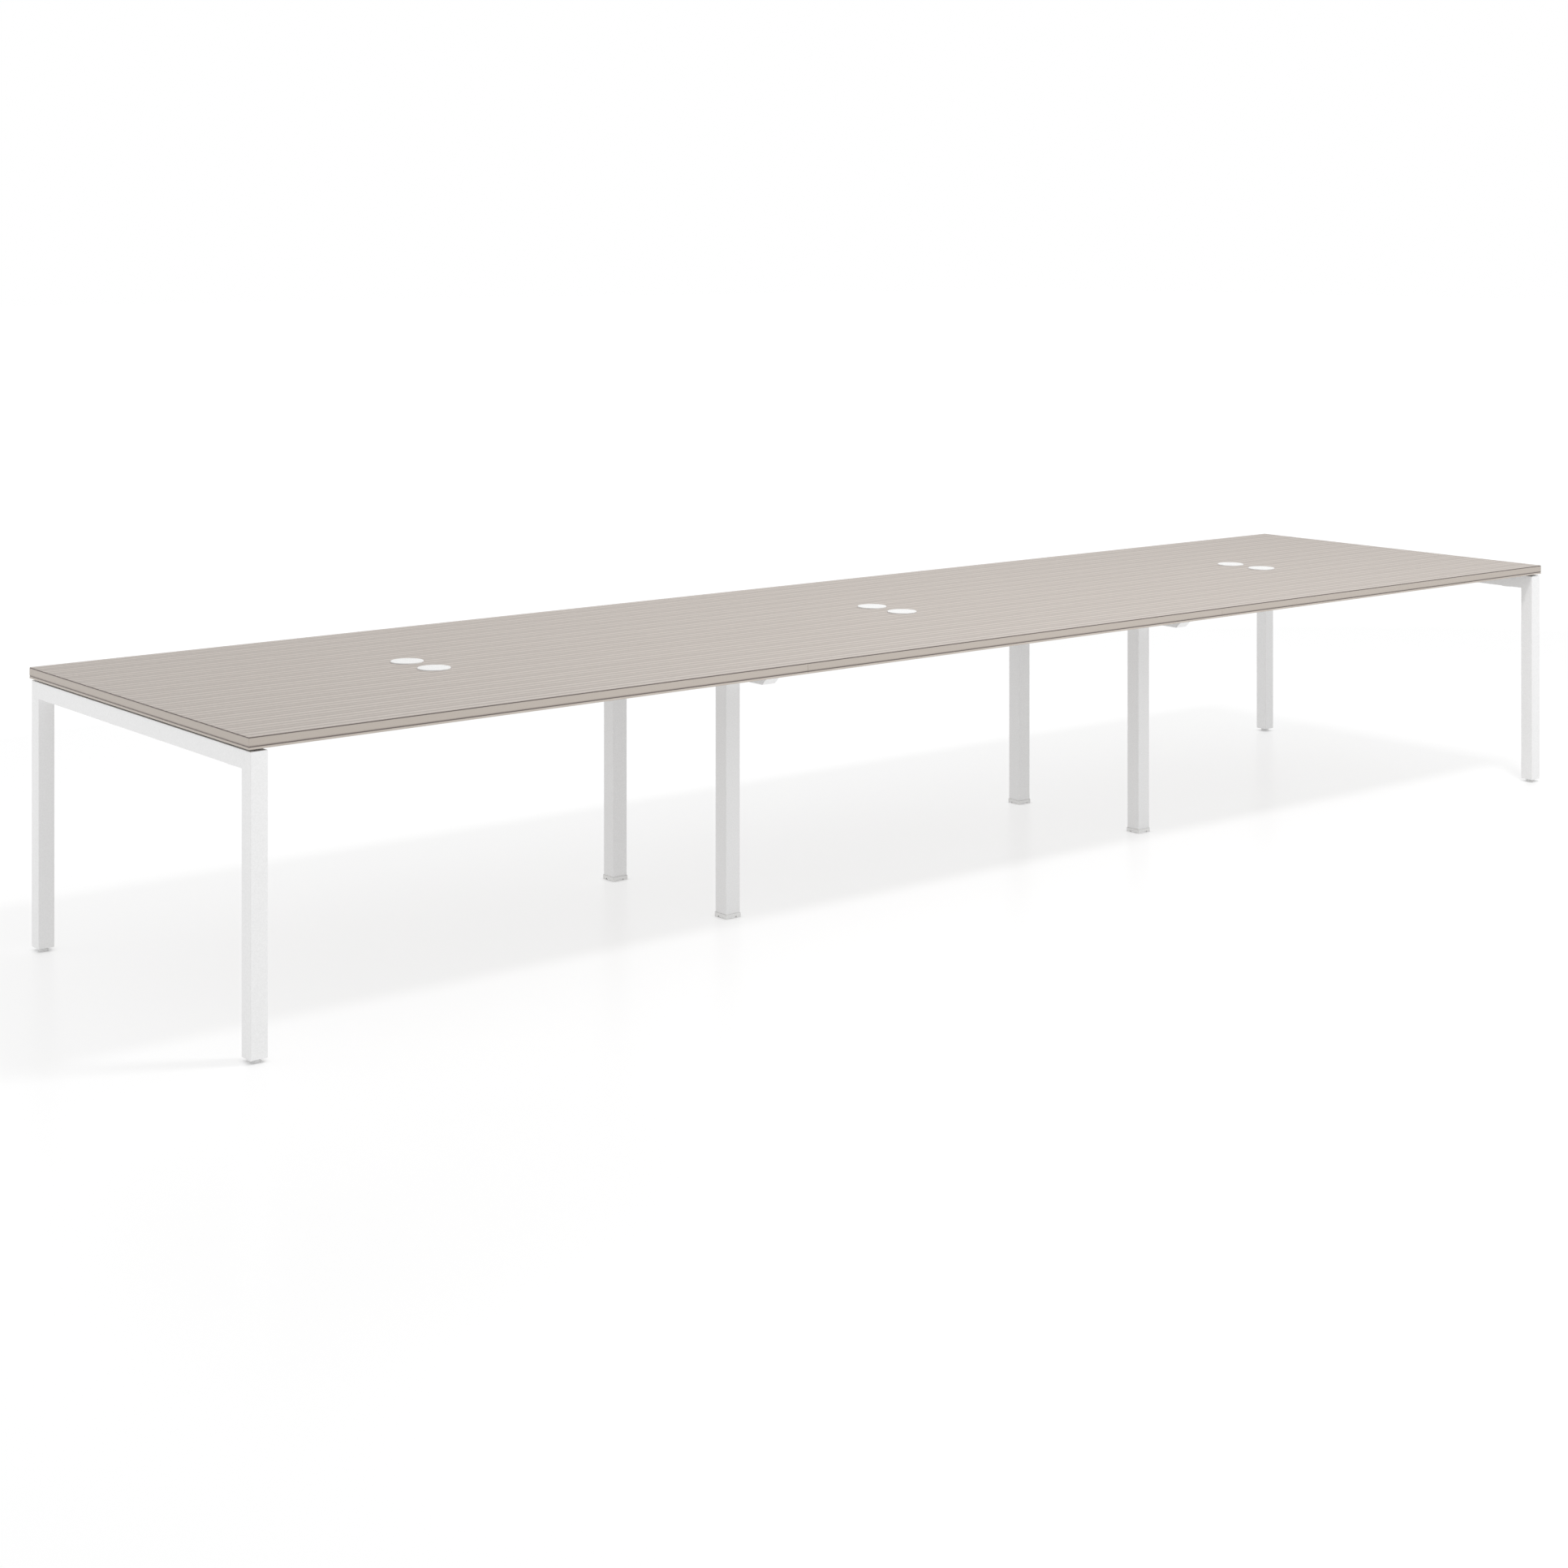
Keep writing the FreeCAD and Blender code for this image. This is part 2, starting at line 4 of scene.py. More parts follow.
import bmesh
import bpy
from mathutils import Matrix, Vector


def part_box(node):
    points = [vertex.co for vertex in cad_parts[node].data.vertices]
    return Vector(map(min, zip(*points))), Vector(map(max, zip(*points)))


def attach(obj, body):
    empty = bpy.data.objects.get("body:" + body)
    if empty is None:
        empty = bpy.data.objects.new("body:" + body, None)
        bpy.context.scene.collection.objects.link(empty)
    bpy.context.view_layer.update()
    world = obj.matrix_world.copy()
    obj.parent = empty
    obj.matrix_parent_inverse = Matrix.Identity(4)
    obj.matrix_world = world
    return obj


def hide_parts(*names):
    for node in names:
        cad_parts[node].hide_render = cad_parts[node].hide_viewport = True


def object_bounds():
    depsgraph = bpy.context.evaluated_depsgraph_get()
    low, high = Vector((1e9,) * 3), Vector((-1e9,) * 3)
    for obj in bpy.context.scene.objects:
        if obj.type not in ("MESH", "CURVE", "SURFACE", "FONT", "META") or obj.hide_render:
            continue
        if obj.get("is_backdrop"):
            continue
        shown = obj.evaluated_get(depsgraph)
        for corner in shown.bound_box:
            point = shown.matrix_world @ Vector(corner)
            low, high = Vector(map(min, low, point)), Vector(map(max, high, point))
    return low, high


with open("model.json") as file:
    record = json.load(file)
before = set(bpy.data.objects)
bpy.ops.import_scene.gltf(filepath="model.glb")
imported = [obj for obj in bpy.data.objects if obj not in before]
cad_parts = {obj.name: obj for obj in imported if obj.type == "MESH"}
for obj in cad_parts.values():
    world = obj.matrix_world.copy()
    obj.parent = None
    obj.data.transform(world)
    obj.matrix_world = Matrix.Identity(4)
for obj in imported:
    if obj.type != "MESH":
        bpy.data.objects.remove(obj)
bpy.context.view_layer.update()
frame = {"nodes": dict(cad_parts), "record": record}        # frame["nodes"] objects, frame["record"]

MM = 0.001
TURN = 2.0 * math.pi
WHITE = (1.0, 1.0, 1.0, 1.0)
ENDS = ("left", "right")
BOARDS = ("left", "middle", "right")
ROWS = ("front", "rear")

# Top and underside of the boards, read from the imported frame
board_low, board_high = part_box("worktop_middle")
TOP = board_high.z
BOTTOM = board_low.z


# Shader values

NOISE_MEAN = 0.5


class Value:
    """One output of a shader node; arithmetic on it adds Math nodes."""

    def __init__(self, tree, socket):
        self.tree = tree
        self.socket = socket

    def node(self, kind, settings, sockets, output=0):
        """Any other node: settings first, then the sockets; gives one of its outputs."""
        made = self.tree.nodes.new(kind)
        for name, setting in settings.items():
            setattr(made, name, setting)
        for name, given in sockets.items():
            if isinstance(given, Value):
                self.tree.links.new(given.socket, made.inputs[name])
            else:
                made.inputs[name].default_value = given
        return Value(self.tree, made.outputs[output]) if made.outputs else None

    def maths(self, operation, first, second=0.0):
        return self.node("ShaderNodeMath", {"operation": operation}, {0: first, 1: second})

    def __add__(self, other):
        return self.maths("ADD", self, other)

    def __radd__(self, other):
        return self.maths("ADD", other, self)

    def __sub__(self, other):
        return self.maths("SUBTRACT", self, other)

    def __rsub__(self, other):
        return self.maths("SUBTRACT", other, self)

    def __mul__(self, other):
        return self.maths("MULTIPLY", self, other)

    def __rmul__(self, other):
        return self.maths("MULTIPLY", other, self)

    def cosine(self):
        return self.maths("COSINE", self)

    def larger(self, other):
        return self.maths("MAXIMUM", self, other)

    def rise(self, low, high):
        """0 below low, 1 above high, smooth between them."""
        return self.node("ShaderNodeMapRange", {"interpolation_type": "SMOOTHSTEP"},
                         {"Value": self, "From Min": low, "From Max": high}, "Result")

    def mix(self, first, second):
        """The first colour where this is 0, the second where it is 1."""
        return self.node("ShaderNodeMix", {"data_type": "RGBA"}, {0: self, 6: first, 7: second}, 2)

    def axis(self, name):
        return self.node("ShaderNodeSeparateXYZ", {}, {"Vector": self}, name)

    def stretch(self, factors):
        return self.node("ShaderNodeVectorMath", {"operation": "MULTIPLY"}, {0: self, 1: factors})

    def noise(self, scale, detail=2.0, rough=0.5):
        return self.node("ShaderNodeTexNoise", {},
                         {"Vector": self, "Scale": scale, "Detail": detail, "Roughness": rough})

    def bump(self, distance, strength):
        return self.node("ShaderNodeBump", {},
                         {"Height": self, "Distance": distance, "Strength": strength}, "Normal")


def tone(red, green, blue):
    """Linear colour from the 0 to 255 levels that it shows on a screen."""
    linear = []
    for level in (red, green, blue):
        share = level / 255.0
        linear.append(share / 12.92 if share <= 0.04045 else ((share + 0.055) / 1.055) ** 2.4)
    return (*linear, 1.0)


def start_material(name):
    """A new material, and the place on the object that its values start from."""
    material = bpy.data.materials.new(name)
    material.use_nodes = True
    material.node_tree.nodes.clear()
    coordinates = material.node_tree.nodes.new("ShaderNodeTexCoord")
    return material, Value(material.node_tree, coordinates.outputs["Object"])


def end_material(place, sockets):
    """Joins the values to the surface."""
    surface = place.node("ShaderNodeBsdfPrincipled", {}, sockets)
    place.node("ShaderNodeOutputMaterial", {}, {"Surface": surface})


# Striped laminate: a fixed repeat of light and dark stripes along the length

STRIPE_REPEAT = 76.4 * MM
STRIPE_PEAK = -24.0 * MM
STRIPE_MEAN = 0.426
# Share, waves in a repeat and lead of each cosine in the stripes
STRIPE_WAVES = ((0.112, 1.0, 1.001), (0.158, 2.0, -0.644), (0.392, 3.0, 0.156))
# Stretch, detail, roughness and share of each noise in the stripes
STRIPE_NOISES = (
    ((2.5, 760.0, 1.0), 3.0, 0.6, 0.9),         # hairlines
    ((0.6, 90.0, 1.0), 2.0, 0.5, 0.25),         # streaks
    ((330.0, 45.0, 1.0), 1.0, 0.5, 0.75),       # cross threads
    ((650.0, 650.0, 650.0), 2.0, 0.6, 0.75),    # speckle
)
STRIPE_DARK = tone(160, 151, 144)
STRIPE_LIGHT = tone(190, 181.5, 174)
# Darker underside of the boards, mottled at random: painted shade that deepens the dark shadow gap
# between board and frame
UNDERSIDE_SHADE_DARK = tone(138, 131, 125)
UNDERSIDE_SHADE_LIGHT = tone(149, 142, 135)
UNDERSIDE_SHADE_SCALE = 120.0
UNDERSIDE_SHADE_EDGE = (BOTTOM + 0.4 * MM, BOTTOM + 0.8 * MM)
PORE_STRETCH = (25.0, 900.0, 1.0)
LAMINATE_ROUGH = 0.46
LAMINATE_ROUGH_SPREAD = 0.1
LAMINATE_RELIEF = 0.03 * MM
LAMINATE_RELIEF_SHARE = 0.4


def stripe_light(place):
    """How light the laminate is: the stripes, and the noises in them."""
    turn = (place.axis("Y") - STRIPE_PEAK) * (TURN / STRIPE_REPEAT)
    light = STRIPE_MEAN
    for share, times, lead in STRIPE_WAVES:
        light = light + (turn * times + lead).cosine() * share
    for factors, detail, rough, share in STRIPE_NOISES:
        light = light + (place.stretch(factors).noise(1.0, detail, rough) - NOISE_MEAN) * share
    return light


def end_laminate(place, colour, grain, relief):
    """Joins a laminate's colour to the surface; the grain varies its gloss and the relief its height."""
    end_material(place, {
        "Base Color": colour,
        "Roughness": LAMINATE_ROUGH + grain * LAMINATE_ROUGH_SPREAD,
        "Normal": relief.bump(LAMINATE_RELIEF, LAMINATE_RELIEF_SHARE),
    })


def laminate_finish():
    material, place = start_material("striped_laminate")
    stripes = stripe_light(place).mix(STRIPE_DARK, STRIPE_LIGHT)
    # Painted shade on the underside, up to 0.4 mm above the bottom, fading out by 0.8 mm
    underside_shade = place.noise(UNDERSIDE_SHADE_SCALE, detail=3.0).mix(UNDERSIDE_SHADE_DARK, UNDERSIDE_SHADE_LIGHT)
    pores = place.stretch(PORE_STRETCH).noise(1.0)
    end_laminate(place, place.axis("Z").rise(*UNDERSIDE_SHADE_EDGE).mix(underside_shade, stripes), pores, pores)
    return material


# Edge band: light face with a dark line under the top and another above the foot; each dark line is the
# band's dark core with painted groove shade, the face darkens into the lower groove with painted shade,
# and the foot is lighter with a painted highlight

BAND_FACE = tone(185, 176, 167)
# Painted shade: the face darkens towards this tone just above the lower groove, where it curves in
BAND_GROOVE_SHADE = tone(160, 150, 143)
# The foot's own tone with a painted highlight, lighter where it faces up towards the light
BAND_FOOT_AND_HIGHLIGHT = tone(191, 182, 173)
# Dark line tones: the band's dark core with painted shade of the grooves it lies in, deeper in the
# stripes' dark parts
BAND_CORE_AND_SHADE = tone(124, 112, 107)
BAND_CORE_AND_SHADE_DEEP = tone(104, 95, 91)
# Drops below the top, in millimetres, over which one tone turns into the next
TOPSIDE_END = (0.02, 0.06)
UPPER_LINE_END = (2.35, 2.65)
GROOVE_SHADE_SPAN = (17.0, 21.0)
# The lower line starts softly: painted shade fading down into the groove
LOWER_LINE_START = (20.2, 21.2)
LOWER_LINE_END = (23.1, 23.5)
BAND_GRAIN_STRETCH = (14.0, 14.0, 500.0)
BAND_GRAIN_SHARE = 0.25
BAND_FINE_SCALE = 500.0
BAND_FINE_SHARE = 0.4


def band_finish():
    material, place = start_material("edge_band_laminate")
    drop = (TOP - place.axis("Z")) * (1.0 / MM)
    stripes = stripe_light(place)
    grain = place.stretch(BAND_GRAIN_STRETCH).noise(1.0, detail=3.0, rough=0.6)
    fine = place.noise(BAND_FINE_SCALE)
    foot = drop.rise(*LOWER_LINE_END)
    # The face: painted shade darkening it into the lower groove, then the lighter foot with its painted
    # highlight
    face = foot.mix(drop.rise(*GROOVE_SHADE_SPAN).mix(BAND_FACE, BAND_GROOVE_SHADE), BAND_FOOT_AND_HIGHLIGHT)
    # Where the dark lines lie, under the top and above the foot: dark core with painted groove shade
    upper_core_and_shade = 1.0 - drop.rise(*UPPER_LINE_END)
    lower_core_and_shade = drop.rise(*LOWER_LINE_START) * (1.0 - foot)
    colour = upper_core_and_shade.larger(lower_core_and_shade).mix(face, stripes.mix(BAND_CORE_AND_SHADE_DEEP, BAND_CORE_AND_SHADE))
    darker = ((grain - NOISE_MEAN) * BAND_GRAIN_SHARE + (fine - NOISE_MEAN) * BAND_FINE_SHARE).larger(0.0)
    colour = darker.mix(colour, BAND_CORE_AND_SHADE)
    topside = 1.0 - drop.rise(*TOPSIDE_END)
    end_laminate(place, topside.mix(colour, stripes.mix(STRIPE_DARK, STRIPE_LIGHT)), grain, fine)
    return material


# Coated, moulded and plated finishes

COAT_PATCH_SHARE = 0.6
COAT_BLEND = (0.3, 0.7)
COAT_ROUGH_SPREAD = 0.2
COAT_RELIEF_SHARE = 0.5


def coat_finish(name, dark, light, patch, grain, depth, rough, specular=0.5, metal=0.0):
    """Mottled colour between two tones over patches, with a fine grain in the surface."""
    material, place = start_material(name)
    patches = place.noise(patch, detail=3.0, rough=0.55)
    texture = place.noise(grain, rough=0.6)
    blend = patches * COAT_PATCH_SHARE + texture * (1.0 - COAT_PATCH_SHARE)
    end_material(place, {
        "Base Color": blend.rise(*COAT_BLEND).mix(dark, light),
        "Roughness": rough + (texture - NOISE_MEAN) * COAT_ROUGH_SPREAD,
        "Metallic": metal,
        "Specular IOR Level": specular,
        "Normal": texture.bump(depth * MM, COAT_RELIEF_SHARE),
    })
    return material


FINISHES = {
    "laminate": laminate_finish(),
    "edge_band": band_finish(),
    "white_steel": coat_finish("white_powder_coat", tone(234, 234, 234), tone(242, 242, 242),
                               patch=260.0, grain=900.0, depth=0.06, rough=0.45),
    "white_plastic": coat_finish("white_moulding", tone(224, 224, 223), tone(230, 230, 229),
                                 patch=60.0, grain=1200.0, depth=0.03, rough=0.3, specular=0.7),
    "cap_plastic": coat_finish("grained_foot_cap", tone(231, 231, 230), tone(238, 238, 237),
                               patch=150.0, grain=1500.0, depth=0.08, rough=0.55),
    "grey_plastic": coat_finish("pale_grey_foot", tone(240, 240, 239), tone(246, 246, 245),
                                patch=120.0, grain=1200.0, depth=0.05, rough=0.5),
    "black_plastic": coat_finish("black_moulding", tone(42, 42, 43), tone(52, 52, 53),
                                 patch=120.0, grain=1200.0, depth=0.05, rough=0.5),
    "black_rubber": coat_finish("black_rubber", tone(38, 38, 38), tone(48, 48, 47),
                                patch=150.0, grain=1600.0, depth=0.08, rough=0.8, specular=0.3),
    "black_steel": coat_finish("black_powder_coat", tone(46, 46, 47), tone(56, 56, 57),
                               patch=120.0, grain=1000.0, depth=0.06, rough=0.5),
    "zinc_steel": coat_finish("zinc_plate", tone(190, 190, 188), tone(210, 209, 206),
                              patch=180.0, grain=1400.0, depth=0.03, rough=0.32, metal=1.0),
}
for subpart in frame["record"]["subparts"]:
    node = frame["nodes"][subpart["node"]]
    node.data.materials.clear()
    node.data.materials.append(FINISHES[subpart["material_slot"]])


# Mesh making

SHARP_ANGLE = math.radians(35.0)
TURN_STEPS = 48


def add_object(name, data):
    """A new object in the scene."""
    made = bpy.data.objects.new(name, data)
    bpy.context.scene.collection.objects.link(made)
    return made


def add_piece(name, mesh, slot, body, *nodes):
    """A new piece that rides on a body and stands for the CAD nodes given, if any."""
    data = bpy.data.meshes.new(name)
    bmesh.ops.recalc_face_normals(mesh, faces=mesh.faces)
    for face in mesh.faces:
        face.smooth = True
    mesh.to_mesh(data)
    mesh.free()
    data.set_sharp_from_angle(angle=SHARP_ANGLE)
    data.materials.append(FINISHES[slot])
    piece = add_object(name, data)
    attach(piece, body)
    if nodes:
        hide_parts(*nodes)


def base_point(low, high):
    """Middle of the underside of a box."""
    return Vector(((low.x + high.x) / 2.0, (low.y + high.y) / 2.0, low.z))


def join_rings(mesh, rings, closed):
    """Skins neighbouring rings of points; each ring is a closed loop."""
    pairs = list(zip(rings, rings[1:]))
    if closed:
        pairs.append((rings[-1], rings[0]))
    for first, second in pairs:
        count = len(first)
        for index in range(count):
            after = (index + 1) % count
            mesh.faces.new((first[index], first[after], second[after], second[index]))


def cap_ring(mesh, ring, point):
    """Closes a ring with a fan to one point."""
    middle = mesh.verts.new(point)
    for index, corner in enumerate(ring):
        mesh.faces.new((corner, ring[(index + 1) % len(ring)], middle))


def add_ring(mesh, centre, reaches, height):
    """A level ring of points round an upright axis, with reaches and height in millimetres."""
    ring = []
    for step, reach in enumerate(reaches):
        angle = TURN * step / len(reaches)
        offset = Vector((reach * math.cos(angle), reach * math.sin(angle), height))
        ring.append(mesh.verts.new(centre + offset * MM))
    return ring


def turn_rings(mesh, centre, profile, steps):
    """Turns (radius, height) points, in millimetres, round an upright axis."""
    return [add_ring(mesh, centre, [radius] * steps, height) for radius, height in profile]


def skin_solid(mesh, centre, rings, low, high):
    """Skins a stack of rings and closes it at its low and high ends, in millimetres."""
    join_rings(mesh, rings, False)
    for ring, height in ((rings[0], low), (rings[-1], high)):
        cap_ring(mesh, ring, centre + Vector((0.0, 0.0, height)) * MM)


def turn_solid(mesh, centre, profile, steps=TURN_STEPS):
    """Turns a profile into a body with both ends closed."""
    skin_solid(mesh, centre, turn_rings(mesh, centre, profile, steps), profile[0][1], profile[-1][1])


# Edge bands, swept round each board with rounded corners

# Inset from the side and drop below the top, in millimetres
BAND_PROFILE = (
    (2.0, 0.0), (1.05, 0.0), (0.86, 0.06), (0.8, 0.25), (0.8, 2.4), (0.12, 2.44), (0.0, 2.6),
    (0.0, 17.6), (0.06, 19.0), (0.25, 20.2), (0.8, 20.8), (0.8, 23.2), (0.12, 24.3), (0.0, 24.8),
    (0.0, 27.6), (0.12, 27.88), (0.4, 28.0), (2.0, 28.0),
)
BAND_THICK = 2.0
BAND_CORNER = 2.2
SEAM_CORNER = 1.3
SEAM_CLOSE = 0.245
CORNER_STEPS = 4
SAME_POINT = 0.001


def rounded_outline(low, high, ends, across):
    """Points round a rectangle, from (inset, corner) of its left and right ends and its inset across."""
    points = []
    corners = ((high.x, high.y), (low.x, high.y), (low.x, low.y), (high.x, low.y))
    for quarter, (x, y) in enumerate(corners):
        inset, corner = ends[0] if x == low.x else ends[1]
        round_x = max(corner - inset, 0.0)
        round_y = max(corner - across, 0.0)
        middle_x = x + (inset + round_x) * (MM if x == low.x else -MM)
        middle_y = y + (across + round_y) * (MM if y == low.y else -MM)
        for step in range(CORNER_STEPS + 1):
            angle = math.radians(90.0) * (quarter + step / CORNER_STEPS)
            points.append((middle_x + round_x * MM * math.cos(angle),
                           middle_y + round_y * MM * math.sin(angle)))
    return points


for board in BOARDS:
    low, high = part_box(f"edge_band_{board}")
    band = bmesh.new()
    rings = []
    for inset, drop in BAND_PROFILE:
        outer = (inset, BAND_CORNER)
        seam = (inset if inset == BAND_THICK else -SEAM_CLOSE, SEAM_CORNER)
        ends = (outer if board == "left" else seam, outer if board == "right" else seam)
        outline = rounded_outline(low, high, ends, inset)
        rings.append([band.verts.new((x, y, high.z - drop * MM)) for x, y in outline])
    join_rings(band, rings, True)
    bmesh.ops.remove_doubles(band, verts=band.verts, dist=SAME_POINT * MM)
    add_piece(f"{board}_board_edging", band, "edge_band", "desk", f"edge_band_{board}")


# Cable grommets: flanged liners and lift-off lids with four clip fingers

FLANGE_THICK = 1.0
LINER_PROFILE = (
    (38.0, 1.0), (42.3, 1.0), (42.65, 0.8), (42.8, 0.4), (42.8, 0.0), (39.8, 0.0),
    (39.8, -24.6), (39.4, -25.0), (38.4, -25.0), (38.0, -24.6),
)
LID_PROFILE = (
    (20.0, 0.0), (42.6, 0.0), (42.9, 0.12), (43.0, 0.4), (43.0, 1.2), (42.75, 1.65),
    (42.2, 2.0), (41.2, 2.17), (39.0, 2.2), (20.0, 2.2),
)
LID_STEPS = 64
FINGER_OUTLINE = (
    (35.0, 0.1), (37.0, 0.1), (37.0, -4.4), (37.3, -5.2), (37.2, -6.2), (36.7, -7.7), (36.3, -8.0),
    (35.3, -8.0), (35.0, -7.7),
)
FINGER_HALF = 7.0
FINGERS = 4


def add_finger(mesh, seat, angle):
    """One clip finger under a lid, on the side that the angle gives."""
    outward = Vector((math.cos(angle), math.sin(angle), 0.0))
    sideways = Vector((-math.sin(angle), math.cos(angle), 0.0))
    ends = []
    for side in (-FINGER_HALF, FINGER_HALF):
        end = []
        for reach, height in FINGER_OUTLINE:
            offset = outward * reach + sideways * side + Vector((0.0, 0.0, height))
            end.append(mesh.verts.new(seat + offset * MM))
        ends.append(end)
    join_rings(mesh, ends, False)
    for end in ends:
        mesh.faces.new(end)


liners = bmesh.new()
for board in BOARDS:
    for row in ROWS:
        lid = f"grommet_lid_{board}_{row}"
        low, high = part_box(lid)
        centre = base_point(low, high)
        centre.z = TOP
        join_rings(liners, turn_rings(liners, centre, LINER_PROFILE, TURN_STEPS), True)
        cover = bmesh.new()
        seat = centre + Vector((0.0, 0.0, FLANGE_THICK)) * MM
        turn_solid(cover, seat, LID_PROFILE, LID_STEPS)
        for finger in range(FINGERS):
            add_finger(cover, seat, TURN * finger / FINGERS)
        add_piece(f"{board}_{row}_lid_moulding", cover, "white_plastic", lid, lid)
add_piece("liner_mouldings", liners, "white_plastic", "desk", "grommet_liners")


# Feet: threaded stems on round glides and on thumb wheels with a scalloped grip

THREAD_PITCH = 1.5
THREAD_CORE = 4.2
THREAD_CREST = 5.0
THREAD_STEPS = 24
THREAD_SINK = 0.5
THREAD_CHAMFER = 0.9
RIDGE_STEPS = 4
GLIDE_RISE = 9.0
GLIDE_PROFILE = (
    (9.0, 0.5), (9.5, 0.0), (12.3, 0.0), (13.1, 0.35), (13.5, 1.1), (13.5, 5.6), (13.2, 6.8),
    (12.2, 8.2), (11.0, 8.8), (9.5, GLIDE_RISE), (5.0, GLIDE_RISE),
)
WHEEL_RISE = 3.6
WHEEL_EDGE = 0.4
WHEEL_PROFILE = (
    (WHEEL_EDGE, 0.0), (0.0, WHEEL_EDGE), (0.0, WHEEL_RISE - WHEEL_EDGE), (WHEEL_EDGE, WHEEL_RISE),
)
WHEEL_GRIPS = 24
GRIP_STEPS = 6
GRIP_DEPTH = 0.7


def add_thread(mesh, centre, low, high):
    """A screw stem: a ridge wound round a core, sunk into the foot below and chamfered at the top."""
    foot = low - THREAD_SINK
    levels = int((high - foot) / THREAD_PITCH) * RIDGE_STEPS
    rings = []
    for level in range(levels + 1):
        height = foot + (high - foot) * level / levels
        chamfer = max(THREAD_CHAMFER - (high - height), 0.0)
        reaches = []
        for step in range(THREAD_STEPS):
            turns = height / THREAD_PITCH - step / THREAD_STEPS
            ridge = 1.0 - abs(2.0 * (turns % 1.0) - 1.0)
            reaches.append(THREAD_CORE + (THREAD_CREST - THREAD_CORE) * ridge - chamfer)
        rings.append(add_ring(mesh, centre, reaches, height))
    skin_solid(mesh, centre, rings, foot, high)


def add_wheel(mesh, centre, crest):
    """A thumb wheel with eased rims and a scalloped grip."""
    steps = WHEEL_GRIPS * GRIP_STEPS
    dips = []
    for step in range(steps):
        wave = math.cos(WHEEL_GRIPS * TURN * step / steps)
        dips.append(GRIP_DEPTH * (0.5 + 0.5 * wave))
    rings = []
    for inset, height in WHEEL_PROFILE:
        rings.append(add_ring(mesh, centre, [crest - inset - dip for dip in dips], height))
    skin_solid(mesh, centre, rings, 0.0, WHEEL_RISE)


for end in ENDS:
    for row in ROWS:
        glide = f"glide_{end}_{row}"
        low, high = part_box(glide)
        base = base_point(low, high)
        foot = bmesh.new()
        turn_solid(foot, base, GLIDE_PROFILE)
        add_thread(foot, base, GLIDE_RISE, (high.z - low.z) / MM)
        add_piece(f"{end}_{row}_glide_foot", foot, "grey_plastic", glide, glide)

        leveller = f"leveller_{end}_{row}"
        low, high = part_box(leveller)
        base = base_point(low, high)
        foot = bmesh.new()
        add_wheel(foot, base, (high.x - low.x) / 2.0 / MM / math.cos(math.pi / WHEEL_GRIPS))
        add_thread(foot, base, WHEEL_RISE, (high.z - low.z) / MM)
        add_piece(f"{end}_{row}_leveller_foot", foot, "grey_plastic", leveller, leveller)


# Bolt and screw heads: chamfered hexagons on a washer face

HEAD_STEPS = 24
HEAD_SIDE = math.radians(60.0)
HEAD_CHAMFER = math.tan(math.radians(30.0))
# Points nearer than this to the middle of a head belong to it
HEAD_REACH = 14.0
# Reach of the washer and of the face, and depth of the dish, as shares of the width across the flats
WASHER_REACH = 0.6
FACE_REACH = 0.475
DISH_DEPTH = 0.04
# Reach of the dish, as a share of the face's
DISH_SHARE = 0.72
# Height of the washer as a share of the head's, and where the hexagon starts as a share of the washer's
WASHER_RISE = 0.14
WASHER_STEP = 1.05


def head_places(node):
    """Boxes of the separate heads in a CAD node."""
    boxes = []
    for vertex in frame["nodes"][node].data.vertices:
        for low, high in boxes:
            if (vertex.co - (low + high) / 2.0).length < HEAD_REACH * MM:
                for side in range(3):
                    low[side] = min(low[side], vertex.co[side])
                    high[side] = max(high[side], vertex.co[side])
                break
        else:
            boxes.append((vertex.co.copy(), vertex.co.copy()))
    return boxes


def add_head(mesh, seat, out, flats, height):
    """One hexagon head that stands on its seat, along the way out."""
    up = Vector((0.0, 0.0, 1.0)) if abs(out.x) > 0.5 else Vector((0.0, 1.0, 0.0))
    side = up.cross(out)
    washer = WASHER_RISE * height
    inner = FACE_REACH * flats
    dish = height - DISH_DEPTH * flats
    columns = []
    for step in range(HEAD_STEPS):
        angle = TURN * step / HEAD_STEPS
        from_flat = (angle + HEAD_SIDE / 2.0) % HEAD_SIDE - HEAD_SIDE / 2.0
        hexagon = flats / 2.0 / math.cos(from_flat)
        shoulder = height - (hexagon - inner) * HEAD_CHAMFER
        way = up * math.cos(angle) + side * math.sin(angle)
        outline = ((WASHER_REACH * flats, 0.0), (WASHER_REACH * flats, washer),
                   (hexagon, washer * WASHER_STEP), (hexagon, shoulder),
                   (inner, height), (inner * DISH_SHARE, dish))
        columns.append([mesh.verts.new(seat + way * reach + out * rise) for reach, rise in outline])
    rings = list(zip(*columns))
    join_rings(mesh, rings, False)
    cap_ring(mesh, rings[0], seat)
    cap_ring(mesh, rings[-1], seat + out * dish)


beam_centres = []
for end in ENDS:
    for beam in (f"{end}_end_beam", f"{end}_mid_beam"):
        low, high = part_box(beam)
        beam_centres.append((low.x + high.x) / 2.0)

bolts = bmesh.new()
for low, high in head_places("rail_bolts"):
    centre = (low + high) / 2.0
    beam = min(beam_centres, key=lambda place: abs(place - centre.x))
    out = Vector((1.0 if centre.x > beam else -1.0, 0.0, 0.0))
    thick = high.x - low.x
    flats = min(high.y - low.y, high.z - low.z)
    add_head(bolts, centre - out * (thick / 2.0), out, flats, thick)
add_piece("rail_bolt_heads", bolts, "zinc_steel", "desk", "rail_bolts")

